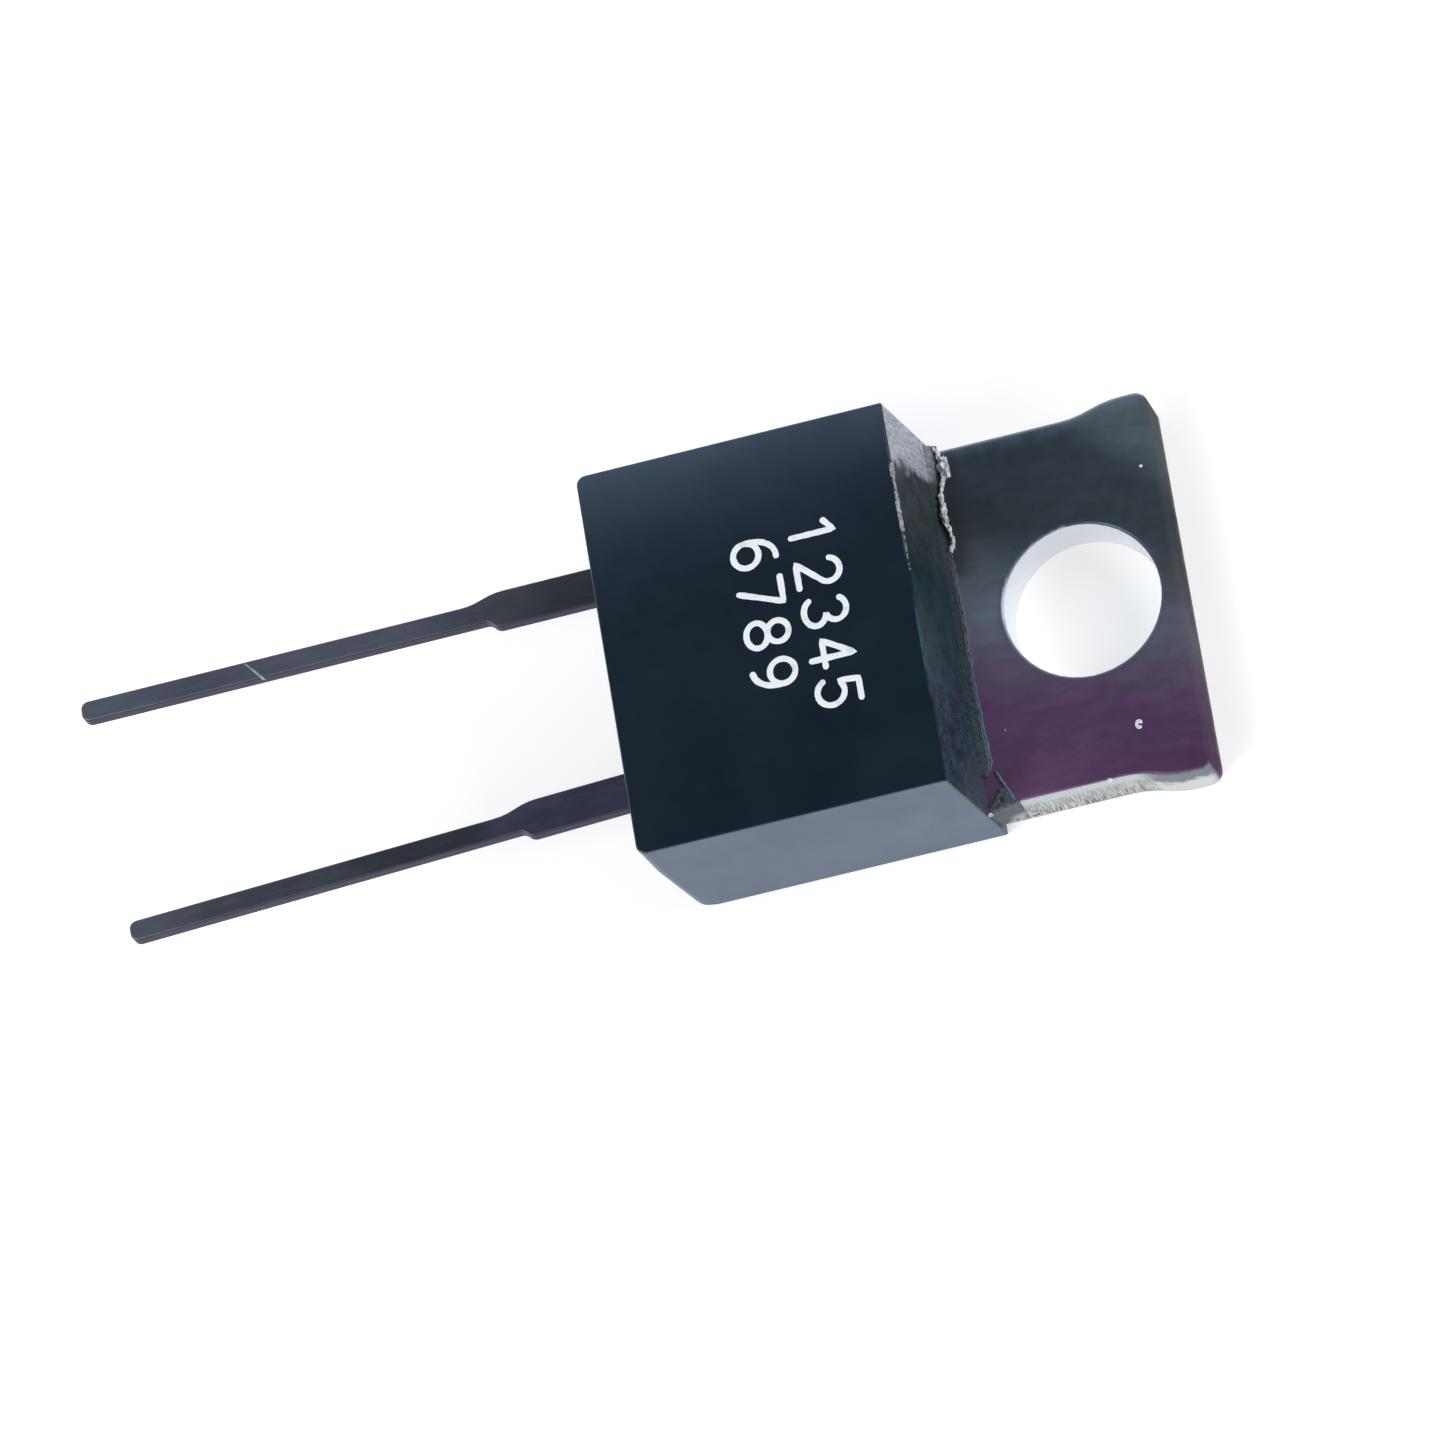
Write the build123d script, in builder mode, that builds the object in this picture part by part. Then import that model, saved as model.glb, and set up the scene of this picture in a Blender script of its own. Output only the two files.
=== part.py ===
from build123d import *
from math import radians, tan
import os

# Two-lead power resistor: a thick-film element on a ceramic plate, soldered to a metal
# tab that bolts to a heatsink, and moulded into an epoxy case.
#
# Sizes are in millimetres and angles in degrees.
# Origin: centre of the mounting hole, on the mounting face.
# +X runs from the leads to the free end of the tab, +Y to the left lead,
# and +Z from the mounting face to the marked face.

# ------------------------------------------------------------------ driving dimensions

# Case
case_width = 10.2
case_height = 4.5          # mounting face to marked face
marked_face_length = 7.93
wall_draft = 6.3           # lean of the wall above the tab
lead_end_draft = 7.2       # lean of the lead end, below the leads
lead_end_lean = 2.8        # lean of the lead end, above the leads
heel_radius = 0.7          # edge between the lead end and the mounting face
corner_radius = 0.25       # upright edges of the lead end
rim_radius = 0.05          # rims of the marked face and of the wall above the tab

# Tab
tab_thickness = 1.3
hole_diameter = 4.0
hole_to_case = 3.07        # along the mounting face
hole_to_tab_end = 2.5
tab_width = 10.2
tab_head_length = 0.65     # free end at full width
flare_length = 1.65        # from the waist to full width
waist_width = 9.65
tab_corner_radius = 0.35
die_roll = 0.1             # rounded edge left by the punch

# Moulded-in part of the tab, with a ledge that the epoxy grips
collar_depth = 0.3         # length of waist inside the case
lock_width = 9.0
ledge_width = 0.35
ledge_height = 0.65
lead_end_cover = 1.2       # epoxy between the tab and the lead end

# Element
solder_thickness = 0.1
solder_margin = 0.15       # solder that shows round the plate
substrate_length = 5.6
substrate_width = 8.0
substrate_thickness = 1.0
substrate_setback = 1.9    # plate to the lead end of the case, at the leads
film_thickness = 0.04
film_length = 4.4
pad_length = 5.0
pad_width = 2.1
trim_kerf = 0.15           # laser cut that sets the resistance
trim_length = 1.8
trim_offset = 0.6          # from the middle of the film
glaze_thickness = 0.06     # above the film
glaze_margin = 0.12        # past the film

# Leads
lead_pitch = 5.55
lead_height = 2.85         # mounting face to the middle of the lead
lead_thickness = 0.4
shank_width = 0.94
shank_length = 2.65        # from the case to the long taper
blade_width = 0.53
taper_length = 1.15        # long taper, on the left edge
step_delay = 0.2           # from the long taper's start to the short step's
step_length = 0.4          # short step, on the right edge
tip_radius = 0.2
lead_edge_radius = 0.05
left_reach = 13.8          # from the case to the tip
right_reach = 13.41
left_splay = -0.2          # lean outside the case, away from the other lead
right_splay = 2.4
foot_width = 1.4
foot_length = 2.0          # on the pad
foot_radius = 0.25
joint_width = 1.55         # solder under the foot
joint_slope = 20

# ----------------------------------------------------------------- derived positions


def rise_over(height, angle):
    """Sideways run of a wall that leans by an angle over a height."""
    return height * tan(radians(angle))


# Case, seen from the side
wall_foot_x = -hole_to_case
wall_top_x = wall_foot_x - rise_over(case_height, wall_draft)
lead_end_top_x = wall_top_x - marked_face_length
lead_exit_x = lead_end_top_x + rise_over(case_height - lead_height, lead_end_lean)
heel_x = lead_exit_x + rise_over(lead_height, lead_end_draft)

# Tab, from its free end to its moulded-in end
flare_wide_x = hole_to_tab_end - tab_head_length
flare_narrow_x = flare_wide_x - flare_length
collar_x = wall_foot_x - collar_depth
tongue_end_x = lead_exit_x + lead_end_cover
tongue_length = collar_x - tongue_end_x

# Element, from the tab upwards
substrate_x = lead_exit_x + substrate_setback + substrate_length / 2
substrate_base_z = tab_thickness + solder_thickness
print_z = substrate_base_z + substrate_thickness
pad_top_z = print_z + film_thickness
lead_base_z = lead_height - lead_thickness / 2
film_width = lead_pitch - pad_width
lead_inner_length = substrate_setback + foot_length


def s_bend(start, end, heading):
    """Two equal arcs that leave the start and reach the end along one heading."""
    middle = (Vector(*start) + Vector(*end)) / 2
    first_arc = TangentArc(start, middle, tangent=heading)
    TangentArc(middle, end, tangent=first_arc % 1)


# -------------------------------------------------------------------------------- tab

with BuildPart() as heat_tab:
    with BuildSketch():
        with BuildLine() as outline:
            Line((hole_to_tab_end, tab_width / 2), (flare_wide_x, tab_width / 2))
            s_bend((flare_wide_x, tab_width / 2), (flare_narrow_x, waist_width / 2), (-1, 0))
            Line((flare_narrow_x, waist_width / 2), (collar_x, waist_width / 2))
            mirror(outline.line, about=Plane.XZ)
            Line((hole_to_tab_end, -tab_width / 2), (hole_to_tab_end, tab_width / 2))
            Line((collar_x, -waist_width / 2), (collar_x, waist_width / 2))
        make_face()
    extrude(amount=tab_thickness)
    fillet(heat_tab.edges().filter_by(Axis.Z).group_by(Axis.X)[-1], tab_corner_radius)
    Hole(hole_diameter / 2)
    punched_edges = heat_tab.faces().sort_by(Axis.Z)[-1].edges().group_by(Axis.X)[1:]
    fillet(punched_edges, die_roll)
    # Tongue under the element: the upper half overhangs the lower half on three sides.
    with BuildSketch(Plane.XY.offset(ledge_height)):
        with Locations((collar_x, 0)):
            Rectangle(tongue_length, lock_width, align=(Align.MAX, Align.CENTER))
    extrude(amount=tab_thickness - ledge_height)
    with BuildSketch():
        with Locations((collar_x, 0)):
            Rectangle(
                tongue_length - ledge_width,
                lock_width - 2 * ledge_width,
                align=(Align.MAX, Align.CENTER),
            )
    extrude(amount=ledge_height)
heat_tab.part.label = "heat_tab"

# ---------------------------------------------------------------------------- element

with BuildPart() as solder_layer:
    with BuildSketch(Plane.XY.offset(tab_thickness)):
        with Locations((substrate_x, 0)):
            RectangleRounded(
                substrate_length + 2 * solder_margin,
                substrate_width + 2 * solder_margin,
                solder_margin,
            )
    extrude(amount=solder_thickness)
solder_layer.part.label = "solder_layer"

with BuildPart() as ceramic_substrate:
    with BuildSketch(Plane.XY.offset(substrate_base_z)):
        with Locations((substrate_x, 0)):
            Rectangle(substrate_length, substrate_width)
    extrude(amount=substrate_thickness)
ceramic_substrate.part.label = "ceramic_substrate"


def conductor_pad(side):
    """Printed conductor along one side of the plate."""
    with BuildPart() as pad:
        with BuildSketch(Plane.XY.offset(print_z)):
            with Locations((substrate_x, side * lead_pitch / 2)):
                Rectangle(pad_length, pad_width)
        extrude(amount=film_thickness)
    return pad


conductor_pad_left = conductor_pad(1)
conductor_pad_left.part.label = "conductor_pad_left"
conductor_pad_right = conductor_pad(-1)
conductor_pad_right.part.label = "conductor_pad_right"

with BuildPart() as resistor_film:
    with BuildSketch(Plane.XY.offset(print_z)):
        with Locations((substrate_x, 0)):
            Rectangle(film_length, film_width)
        with Locations((substrate_x + film_length / 2, trim_offset)):
            Rectangle(
                trim_length, trim_kerf, align=(Align.MAX, Align.CENTER), mode=Mode.SUBTRACT
            )
    extrude(amount=film_thickness)
resistor_film.part.label = "resistor_film"

# The glaze covers the film, laps onto the pads and fills the trim cut.
with BuildPart() as glass_overglaze:
    with BuildSketch(Plane.XY.offset(print_z)):
        with Locations((substrate_x, 0)):
            Rectangle(film_length + 2 * glaze_margin, film_width + 2 * glaze_margin)
    extrude(amount=film_thickness + glaze_thickness)
    add(resistor_film.part, mode=Mode.SUBTRACT)
    add(conductor_pad_left.part, mode=Mode.SUBTRACT)
    add(conductor_pad_right.part, mode=Mode.SUBTRACT)
glass_overglaze.part.label = "glass_overglaze"

# ------------------------------------------------------------------------------ leads


def lead_plane(side, height):
    """Plane at the point where a lead leaves the case: local x runs out to the tip."""
    return Plane(
        origin=(lead_exit_x, side * lead_pitch / 2, height), x_dir=(-1, 0, 0), z_dir=(0, 0, 1)
    )


def lead(side, splay, reach):
    """Stamped lead: foot on the pad, wide shank, uneven shoulder, slim blade."""
    turn = -side * splay
    shank = shank_width / 2
    blade = blade_width / 2
    elbow = shank * tan(radians(turn / 2))
    root = foot_radius - lead_inner_length
    taper_end = shank_length + taper_length
    step_start = shank_length + step_delay
    step_end = step_start + step_length

    def bent(along, across):
        """Point or heading on the stretch outside the case, which leans by the splay."""
        return Vector(along, across).rotate(Axis.Z, turn)

    with BuildPart() as stamped:
        with BuildSketch(lead_plane(side, lead_base_z)) as plan:
            with BuildLine():
                Polyline((root, -shank), (elbow, -shank), bent(shank_length, -shank))
                s_bend(bent(shank_length, -shank), bent(taper_end, -blade), bent(1, 0))
                Polyline(
                    bent(taper_end, -blade), bent(reach, -blade), bent(reach, blade), bent(step_end, blade)
                )
                s_bend(bent(step_end, blade), bent(step_start, shank), bent(-1, 0))
                Polyline(bent(step_start, shank), (-elbow, shank), (root, shank), (root, -shank))
            make_face()
            fillet(plan.vertices().sort_by(Axis.X)[-2:], tip_radius)
        extrude(amount=lead_thickness)
        fillet(stamped.edges().filter_by(Axis.Z, reverse=True), lead_edge_radius)
        with BuildSketch(lead_plane(side, lead_base_z)):
            with Locations((-lead_inner_length, 0)):
                RectangleRounded(
                    foot_length, foot_width, foot_radius, align=(Align.MIN, Align.CENTER)
                )
        extrude(amount=lead_thickness)
    return stamped


def solder_joint(side):
    """Solder between a pad and the foot of its lead."""
    with BuildPart() as joint:
        with BuildSketch(lead_plane(side, pad_top_z)):
            with Locations((-lead_inner_length, 0)):
                RectangleRounded(
                    foot_length, joint_width, foot_radius, align=(Align.MIN, Align.CENTER)
                )
        extrude(amount=lead_base_z - pad_top_z, taper=joint_slope)
    return joint


lead_left = lead(1, left_splay, left_reach)
lead_left.part.label = "lead_left"
lead_right = lead(-1, right_splay, right_reach)
lead_right.part.label = "lead_right"
solder_joint_left = solder_joint(1)
solder_joint_left.part.label = "solder_joint_left"
solder_joint_right = solder_joint(-1)
solder_joint_right.part.label = "solder_joint_right"

# ------------------------------------------------------------------------------- case

moulded_in = [
    heat_tab,
    solder_layer,
    ceramic_substrate,
    conductor_pad_left,
    conductor_pad_right,
    resistor_film,
    glass_overglaze,
    solder_joint_left,
    solder_joint_right,
    lead_left,
    lead_right,
]


def at_lead_end(edge):
    """Whether an edge of the case's side stands at the lead end."""
    return edge.center().X < heel_x


def at_wall(edge):
    """Whether an edge of the case's side runs up the wall above the tab."""
    return edge.center().X > wall_top_x


# The epoxy fills everything between the outer form and the pieces moulded in.
with BuildPart() as epoxy_case:
    with BuildSketch(Plane.XZ) as side_profile:
        with BuildLine():
            Polyline(
                (heel_x, 0),
                (wall_foot_x, 0),
                (wall_top_x, case_height),
                (lead_end_top_x, case_height),
                (lead_exit_x, lead_height),
                close=True,
            )
        make_face()
    extrude(amount=case_width / 2, both=True)
    fillet(epoxy_case.faces().filter_by(Axis.Y).edges().filter_by(at_lead_end), corner_radius)
    with BuildSketch(Plane.XZ) as heeled_profile:
        add(side_profile.sketch_local)
        fillet(heeled_profile.vertices().group_by(Axis.Y)[0].sort_by(Axis.X)[0], heel_radius)
    extrude(amount=case_width / 2, both=True, mode=Mode.INTERSECT)
    marked_face = epoxy_case.faces().sort_by(Axis.Z)[-1]
    wall_edges = epoxy_case.faces().filter_by(Axis.Y).edges().filter_by(at_wall)
    fillet(marked_face.edges() + wall_edges, rim_radius)
    for piece in moulded_in:
        add(piece.part, mode=Mode.SUBTRACT)
epoxy_case.part.label = "epoxy_case"

# ------------------------------------------------------------------------------ output

os.makedirs("parts", exist_ok=True)
for piece in [*moulded_in, epoxy_case]:
    export_step(piece.part, f"parts/{piece.part.label}.step")
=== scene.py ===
import math
import random

import bmesh
import bpy
from mathutils import Matrix, Vector, noise


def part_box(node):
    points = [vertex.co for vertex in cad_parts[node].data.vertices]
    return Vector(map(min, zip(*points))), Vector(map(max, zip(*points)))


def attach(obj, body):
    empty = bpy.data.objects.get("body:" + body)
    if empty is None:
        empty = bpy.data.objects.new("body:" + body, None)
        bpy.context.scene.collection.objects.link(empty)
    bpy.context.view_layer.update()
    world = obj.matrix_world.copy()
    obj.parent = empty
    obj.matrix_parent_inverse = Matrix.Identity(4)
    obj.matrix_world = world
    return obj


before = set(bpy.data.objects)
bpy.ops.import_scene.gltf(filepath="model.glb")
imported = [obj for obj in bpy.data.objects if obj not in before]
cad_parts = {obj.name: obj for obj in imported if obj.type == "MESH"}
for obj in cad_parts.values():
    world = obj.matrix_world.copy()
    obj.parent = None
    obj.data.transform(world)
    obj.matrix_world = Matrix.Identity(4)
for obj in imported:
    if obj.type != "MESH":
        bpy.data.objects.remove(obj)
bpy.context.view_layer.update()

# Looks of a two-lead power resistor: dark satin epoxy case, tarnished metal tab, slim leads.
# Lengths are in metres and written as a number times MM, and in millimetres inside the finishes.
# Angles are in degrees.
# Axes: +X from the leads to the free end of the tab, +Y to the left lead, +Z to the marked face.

MM = 0.001

case_low, case_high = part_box("epoxy_case")
_, tab_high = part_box("heat_tab")
lead_low, lead_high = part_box("lead_left")
face_height = case_high.z
tab_top = tab_high.z
wall_draft = 6.3           # lean of the wall above the tab


def wall_x(height):
    """Where the wall above the tab stands at that height."""
    return case_high.x - height * math.tan(math.radians(wall_draft))


foot_x = wall_x(tab_top)
rim_x = wall_x(face_height)
hole_radius = 2.0 * MM     # its centre is the origin
waist_half_width = 4.83 * MM
head_half_width = 5.1 * MM
waist_end = 0.2 * MM       # where the tab starts to flare
head_start = 1.85 * MM     # where it has its full width
waist_side = -waist_half_width

# ------------------------------------------------------------------ camera and stage

view_azimuth = 25.74
view_elevation = 65.69
view_roll = 37.39
view_distance = 350 * MM
view_target = Vector((-9.21, -1.46, 2.83)) * MM
view_sensor = 36
view_lens = 353.6
daylight = (0.92, 0.96, 1.0)
glow_colour = (0.55, 0.72, 1.0)
part_middle = Vector((case_high.x - 2 * MM, 0, tab_top))
glow_edge = Vector((case_high.x - 4.5 * MM, case_high.y, face_height))


def towards(azimuth, elevation):
    """Unit vector from the part to a point at that azimuth and elevation; azimuth 0 is -Y."""
    turn, rise = math.radians(azimuth), math.radians(elevation)
    return Vector((math.sin(turn) * math.cos(rise), -math.cos(turn) * math.cos(rise), math.sin(rise)))


def place_camera():
    camera = bpy.data.objects.new("camera", bpy.data.cameras.new("camera"))
    bpy.context.scene.collection.objects.link(camera)
    back = towards(view_azimuth, view_elevation)
    turn = Matrix.Rotation(math.radians(-view_roll), 3, back)
    aim = (-back).to_track_quat("-Z", "Y").to_matrix()
    camera.matrix_world = Matrix.Translation(view_target + back * view_distance) @ (turn @ aim).to_4x4()
    camera.data.sensor_width = view_sensor
    camera.data.lens = view_lens
    camera.data.clip_start = 10 * MM
    camera.data.clip_end = 10
    bpy.context.scene.camera = camera


def soft_light(name, aim, azimuth, elevation, distance, size, power, colour):
    """Square lamp that faces a point of the part."""
    lamp = bpy.data.lights.new(name, "AREA")
    lamp.shape = "SQUARE"
    lamp.size = size
    lamp.energy = power
    lamp.color = colour
    light = bpy.data.objects.new(name, lamp)
    bpy.context.scene.collection.objects.link(light)
    back = towards(azimuth, elevation)
    light.location = aim + back * distance
    light.rotation_euler = (-back).to_track_quat("-Z", "Y").to_euler()
    light.visible_camera = False


def lit_world():
    """Pale all round, darker overhead, so that glossy tops stay deep."""
    world = bpy.data.worlds.new("studio")
    bpy.context.scene.world = world
    world.use_nodes = True
    nodes, links = world.node_tree.nodes, world.node_tree.links
    direction = nodes.new("ShaderNodeTexCoord")
    split = nodes.new("ShaderNodeSeparateXYZ")
    ramp = nodes.new("ShaderNodeValToRGB")
    ramp.color_ramp.interpolation = "EASE"
    around, overhead = ramp.color_ramp.elements
    around.position = 0.35
    around.color = (1, 1, 1, 1)
    overhead.position = 0.8
    overhead.color = (0.07, 0.085, 0.105, 1)
    links.new(direction.outputs["Generated"], split.inputs[0])
    links.new(split.outputs["Z"], ramp.inputs["Fac"])
    links.new(ramp.outputs["Color"], nodes["Background"].inputs["Color"])


def seen_rays(nodes, links, rays):
    """1 for rays that come from the camera, off gloss or through clear matter."""
    seen = rays.outputs["Is Camera Ray"]
    for kind in ("Is Glossy Ray", "Is Transmission Ray"):
        either = nodes.new("ShaderNodeMath")
        either.operation = "MAXIMUM"
        links.new(seen, either.inputs[0])
        links.new(rays.outputs[kind], either.inputs[1])
        seen = either.outputs[0]
    return seen


def paper():
    """Pale paper under the part. Rays from the camera and from gloss see it a little brighter."""
    gap = 0.01 * MM            # between the paper and what lies on it
    lift = 0.49
    bpy.ops.mesh.primitive_plane_add(size=2, location=(0, 0, -gap))
    floor = bpy.context.object
    floor.name = "paper"
    material = bpy.data.materials.new("paper")
    material.use_nodes = True
    nodes, links = material.node_tree.nodes, material.node_tree.links
    surface = nodes["Principled BSDF"]
    surface.inputs["Base Color"].default_value = (0.86, 0.85, 0.83, 1)
    surface.inputs["Roughness"].default_value = 0.9
    surface.inputs["Specular IOR Level"].default_value = 0
    rays = nodes.new("ShaderNodeLightPath")
    tint = nodes.new("ShaderNodeMix")
    tint.data_type = "RGBA"
    in_gloss, in_view, tinted = tint.inputs[6], tint.inputs[7], tint.outputs[2]
    in_gloss.default_value = (0.64, 0.70, 0.80, 1)
    in_view.default_value = (1, 1, 1, 1)
    links.new(rays.outputs["Is Camera Ray"], tint.inputs["Factor"])
    links.new(tinted, surface.inputs["Emission Color"])
    strength = nodes.new("ShaderNodeMath")
    strength.operation = "MULTIPLY"
    strength.inputs[1].default_value = lift
    links.new(seen_rays(nodes, links, rays), strength.inputs[0])
    links.new(strength.outputs[0], surface.inputs["Emission Strength"])
    floor.data.materials.append(material)


place_camera()
lit_world()
paper()
soft_light("key", part_middle, -60, 38, 220 * MM, 130 * MM, 0.25, daylight)
soft_light("fill", part_middle, 100, 30, 250 * MM, 150 * MM, 0.27, daylight)
soft_light("glow", glow_edge, 206, 48, 34 * MM, 20 * MM, 0.0009, glow_colour)


# ------------------------------------------------------------------------- materials


class Finish:
    """A Principled material and short calls for its nodes. Its patterns are laid out in millimetres."""

    def __init__(self, name):
        self.material = bpy.data.materials.new(name)
        self.material.use_nodes = True
        self.nodes = self.material.node_tree.nodes
        self.links = self.material.node_tree.links
        self.shader = self.nodes["Principled BSDF"]
        metres = self.nodes.new("ShaderNodeTexCoord")
        self.normal = metres.outputs["Normal"]
        self.place = self.stretched(metres.outputs["Object"], (1 / MM,) * 3)

    def join(self, source, socket):
        """Links an output, or sets a plain number or colour."""
        if isinstance(source, bpy.types.NodeSocket):
            self.links.new(source, socket)
        elif isinstance(source, tuple):
            socket.default_value = (*source, 1)
        else:
            socket.default_value = source

    def stretched(self, place, scale):
        mapping = self.nodes.new("ShaderNodeMapping")
        mapping.inputs["Scale"].default_value = scale
        self.links.new(place, mapping.inputs["Vector"])
        return mapping.outputs[0]

    def grain(self, size, detail=4, roughness=0.55, stretch=(1, 1, 1)):
        """Noise with features of about that many millimetres."""
        texture = self.nodes.new("ShaderNodeTexNoise")
        texture.inputs["Scale"].default_value = 1 / size
        texture.inputs["Detail"].default_value = detail
        texture.inputs["Roughness"].default_value = roughness
        self.links.new(self.stretched(self.place, stretch), texture.inputs["Vector"])
        return texture.outputs["Fac"]

    def axis(self, name, source=None):
        """One coordinate of the place, in millimetres, or of another vector."""
        split = self.nodes.new("ShaderNodeSeparateXYZ")
        self.links.new(source or self.place, split.inputs[0])
        return split.outputs[name]

    def calc(self, operation, *terms):
        """Result of one operation on sockets or numbers."""
        node = self.nodes.new("ShaderNodeMath")
        node.operation = operation
        for socket, term in zip(node.inputs, terms):
            self.join(term, socket)
        return node.outputs[0]

    def overlap(self, first, second):
        """1 where both masks are 1."""
        return self.calc("MULTIPLY", first, second)

    def outside(self, mask):
        """1 where the mask is 0."""
        return self.calc("SUBTRACT", 1, mask)

    def plus(self, base, extra, weight):
        """The base and that much of the extra."""
        return self.calc("MULTIPLY_ADD", extra, weight, base)

    def fade(self, value, start, end, low=0.0, high=1.0, smooth=True):
        """Goes from low at start to high at end."""
        node = self.nodes.new("ShaderNodeMapRange")
        node.interpolation_type = "SMOOTHSTEP" if smooth else "LINEAR"
        self.join(value, node.inputs["Value"])
        node.inputs["From Min"].default_value = start
        node.inputs["From Max"].default_value = end
        node.inputs["To Min"].default_value = low
        node.inputs["To Max"].default_value = high
        return node.outputs[0]

    def facing(self, name, start=0.6, end=0.9, both_ways=False):
        """1 on faces that look along that axis, one way or both ways."""
        lean = self.axis(name, self.normal)
        if both_ways:
            lean = self.calc("ABSOLUTE", lean)
        return self.fade(lean, start, end)

    def blend(self, share, first, second, mode="MIX"):
        """Colour that goes from first to second as share goes from 0 to 1."""
        node = self.nodes.new("ShaderNodeMix")
        node.data_type = "RGBA"
        node.blend_type = mode
        self.join(share, node.inputs["Factor"])
        self.join(first, node.inputs[6])
        self.join(second, node.inputs[7])
        return node.outputs[2]

    def tinted(self, colour, tint):
        """The colour times the tint."""
        return self.blend(1, colour, tint, mode="MULTIPLY")

    def tones(self, value, *stops):
        """Colour ramp from (position, colour) stops."""
        node = self.nodes.new("ShaderNodeValToRGB")
        ramp = node.color_ramp
        while len(ramp.elements) < len(stops):
            ramp.elements.new(1)
        for element, (position, colour) in zip(ramp.elements, stops):
            element.position = position
            element.color = (*colour, 1)
        self.links.new(value, node.inputs["Fac"])
        return node.outputs["Color"]

    def grey(self, value):
        """A grey as bright as the value."""
        node = self.nodes.new("ShaderNodeCombineColor")
        for socket in node.inputs:
            self.links.new(value, socket)
        return node.outputs[0]

    def relief(self, height, depth, strength=1.0, under=None):
        """Bump of that many millimetres, on top of an earlier one."""
        node = self.nodes.new("ShaderNodeBump")
        node.inputs["Strength"].default_value = strength
        node.inputs["Distance"].default_value = depth * MM
        self.links.new(height, node.inputs["Height"])
        if under:
            self.links.new(under, node.inputs["Normal"])
        return node.outputs["Normal"]

    def edges(self, radius):
        """1 on sharp edges and 0 away from them."""
        bevel = self.nodes.new("ShaderNodeBevel")
        bevel.samples = 4
        bevel.inputs["Radius"].default_value = radius * MM
        flat = self.nodes.new("ShaderNodeNewGeometry")
        product = self.nodes.new("ShaderNodeVectorMath")
        product.operation = "DOT_PRODUCT"
        self.links.new(bevel.outputs[0], product.inputs[0])
        self.links.new(flat.outputs["Normal"], product.inputs[1])
        return self.fade(product.outputs["Value"], 0.98, 0.8)

    def set(self, **values):
        """Shader inputs by name, with underscores for spaces."""
        for name, value in values.items():
            self.join(value, self.shader.inputs[name.replace("_", " ")])


def trimmed_tones(finish, mottle):
    """Colours of trimmed resin: a ragged pale patch that is a painted reflection, warm grey, green-black,
    speckled blue and grey again.
    """
    across, height = finish.axis("Y"), finish.axis("Z")
    middle, right = finish.fade(across, 2.4, 0.6), finish.fade(across, -1.0, -2.4)

    def from_left(warm, green, blue):
        return finish.blend(right, finish.blend(middle, warm, green), blue)

    clear = from_left((0.036, 0.043, 0.047), (0.001, 0.020, 0.024), (0.010, 0.042, 0.064))
    deep = from_left((0.022, 0.027, 0.031), (0.000, 0.008, 0.011), (0.002, 0.011, 0.017))
    trimmed = finish.blend(finish.fade(mottle, 0.40, 0.60), clear, deep)
    faded = finish.fade(height, 3.0, 1.3, 0, 0.25)
    trimmed = finish.blend(faded, trimmed, (0.045, 0.070, 0.083))
    blotches = finish.fade(finish.grain(0.13, detail=3), 0.50, 0.56)
    blotches = finish.overlap(blotches, finish.fade(right, 0, 1, 0, 0.9))
    trimmed = finish.blend(blotches, trimmed, (0.006, 0.009, 0.009))
    dusty = finish.plus(finish.calc("ADD", across, height), finish.grain(0.35, detail=4), 1.6)
    trimmed = finish.blend(finish.fade(dusty, 0.2, -2.2, 0, 0.65), trimmed, (0.064, 0.074, 0.084))
    glints = finish.fade(finish.grain(0.06), 0.57, 0.64)
    glints = finish.overlap(glints, finish.fade(across, 1, -2.5, 0.05, 0.75))
    trimmed = finish.blend(glints, trimmed, (0.086, 0.120, 0.150))
    # Painted reflection: the mottled pale patch at the left end of the wall, widest at its top.
    ragged = finish.plus(finish.plus(across, height, 0.2), finish.grain(0.6, detail=4), 1.2)
    reflection_mottle = finish.grain(0.09, detail=4, roughness=0.7, stretch=(1, 1, 0.45))
    pale = finish.tones(reflection_mottle, (0.38, (0.23, 0.23, 0.26)), (0.62, (0.51, 0.51, 0.55)))
    return finish.blend(finish.fade(ragged, 4.80, 5.15), trimmed, pale)


def skin_tones(finish, cloud, sides):
    """Colours of the moulded skin: blue-black, with a painted highlight towards the left of the marked face,
    slate blue on the sides.
    """
    across, height = finish.axis("Y"), finish.axis("Z")
    skin = finish.tones(cloud, (0.3, (0.0020, 0.0100, 0.0155)), (0.7, (0.0045, 0.0130, 0.0200)))
    rise = finish.calc("POWER", finish.fade(across, 0.9, case_high.y / MM, smooth=False), 3)
    # Painted highlight: the marked face lightens towards its left edge.
    painted_highlight = finish.overlap(rise, finish.facing("Z"))
    painted_highlight = finish.overlap(painted_highlight, finish.fade(cloud, 0.3, 0.7, 0.8, 1))
    skin = finish.blend(painted_highlight, skin, (0.068, 0.076, 0.100))
    foot = finish.fade(height, 4.3, 0.5, smooth=False)
    return finish.blend(sides, skin, finish.blend(foot, (0.015, 0.023, 0.062), (0.032, 0.046, 0.096)))


def wall_rim(finish):
    """1 on the thin rounded rim between the marked face and the wall."""
    out, top = rim_x / MM, face_height / MM
    outer = finish.fade(finish.axis("X"), out - 0.06, out - 0.045)
    return finish.overlap(outer, finish.fade(finish.axis("Z"), top - 0.065, top - 0.05))


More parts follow.
